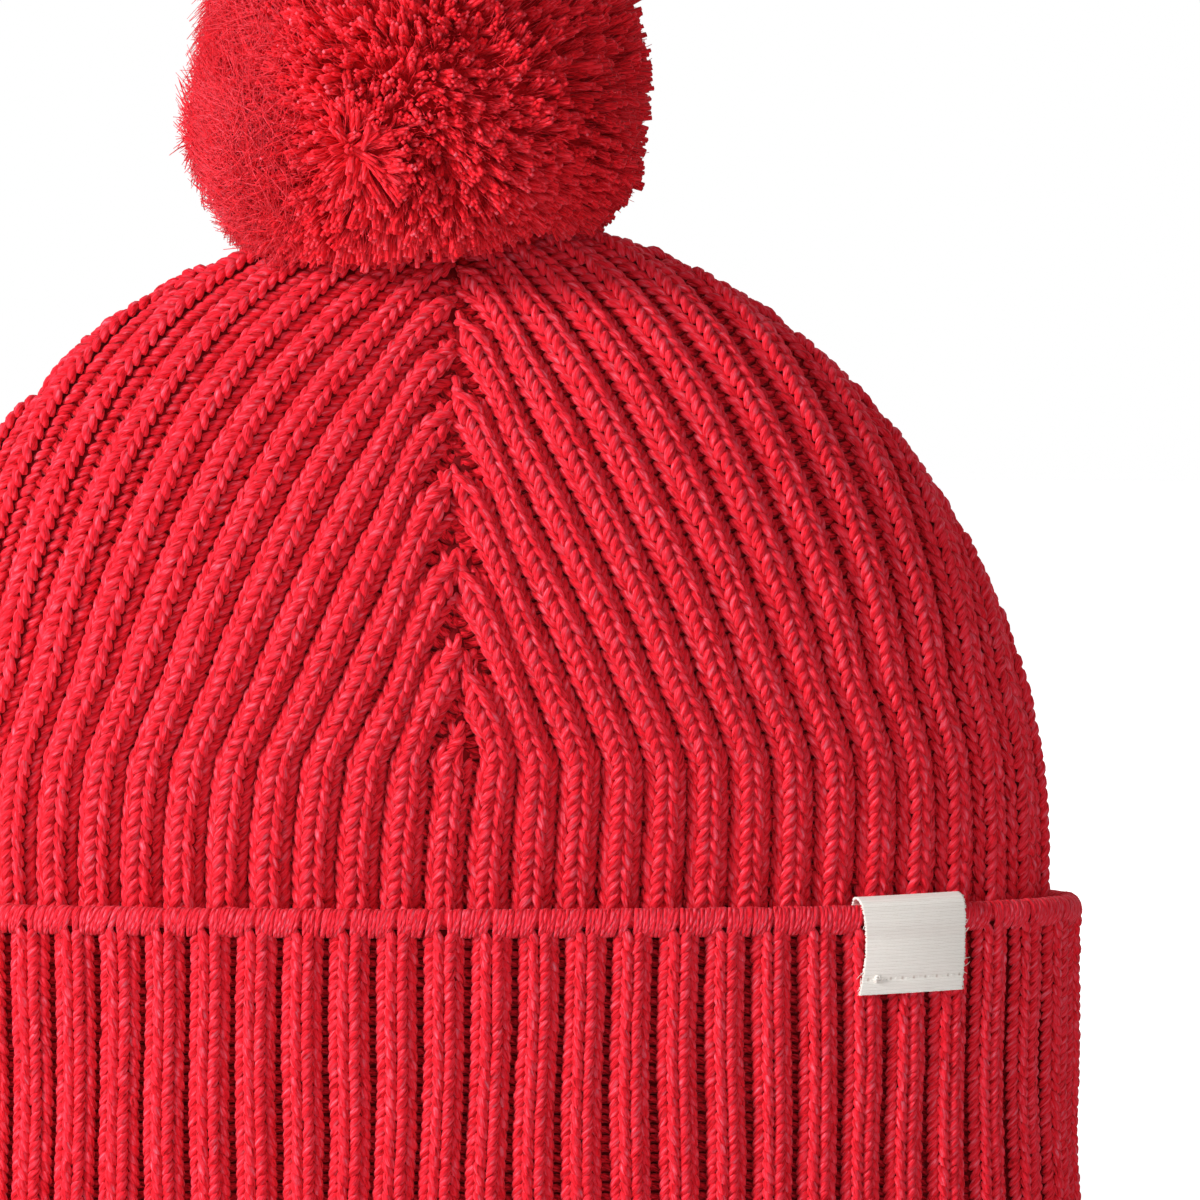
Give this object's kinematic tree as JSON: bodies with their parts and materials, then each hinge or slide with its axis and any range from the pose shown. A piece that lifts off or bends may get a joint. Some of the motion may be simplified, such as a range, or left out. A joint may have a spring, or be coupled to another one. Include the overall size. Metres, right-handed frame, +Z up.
{
  "type": "pom pom beanie",
  "caption": "Knitted rib beanie with a rolled-up cuff, a dart-shaped crown, a small sewn tab and a yarn pom that nods, sways and twists on its tie.",
  "frame": {"origin": "on the supporting surface, at the middle of the oval fold that the hat stands on", "axes": "+Z up from the fold to the pom; -Y is the front, where the sewn tab is; +X is to the right as the front is seen, along the wide way of the flat-laid oval"},
  "size_m": [0.201, 0.0744, 0.2196],
  "materials": {
    "cuff_knit": "matte",
    "crown_knit": "matte",
    "pom_yarn": "matte",
    "tie_yarn": "matte",
    "tab_tape": "matte",
    "sewing_thread": "matte"
  },
  "bodies": {
    "fold": {"cuff_fold": "cuff_knit", "cuff_outer_layer": "cuff_knit", "cuff_seam_yarn": "cuff_knit"},
    "cuff_edge": {"cuff_welt": "cuff_knit", "label_tab": "tab_tape", "label_stitches": "sewing_thread"},
    "crown": {"crown_shell": "crown_knit", "front_dart_seam": "crown_knit", "right_dart_seam": "crown_knit", "left_dart_seam": "crown_knit", "back_seam": "crown_knit", "crown_draw_yarn": "tie_yarn", "anchor_yarn": "tie_yarn", "anchor_knot": "tie_yarn"},
    "pom_neck": {"pom_neck": "tie_yarn"},
    "pom_core": {"pom_binding": "tie_yarn"},
    "pom": {"pom_fibres": "pom_yarn"}
  },
  "joints": [
    {"name": "cuff_roll", "type": "slide", "parent": "fold", "child": "crown", "axis": [0, 0, 1], "range_m": [0, 0.015], "deforming": ["cuff_outer_layer", "cuff_seam_yarn"]},
    {"name": "cuff_edge_slide", "type": "slide", "parent": "fold", "child": "cuff_edge", "axis": [0, 0, 1], "range_m": [-0.015, 0]},
    {"name": "pom_nod", "type": "hinge", "parent": "crown", "child": "pom_neck", "pos_m": [0, 0, 0.1654], "axis": [1, 0, 0], "range_deg": [-12, 12], "stiffness_Nm_per_rad": 0.05},
    {"name": "pom_sway", "type": "hinge", "parent": "pom_neck", "child": "pom_core", "pos_m": [0, 0, 0.1654], "axis": [0, 1, 0], "range_deg": [-10, 10], "stiffness_Nm_per_rad": 0.05},
    {"name": "pom_twist", "type": "hinge", "parent": "pom_core", "child": "pom", "pos_m": [0, 0, 0.1654], "axis": [0, 0, 1], "range_deg": [-30, 30], "stiffness_Nm_per_rad": 0.01}
  ],
  "couplings": [
    {"joint": "cuff_edge_slide", "follows": "cuff_roll", "ratio": -1}
  ]
}
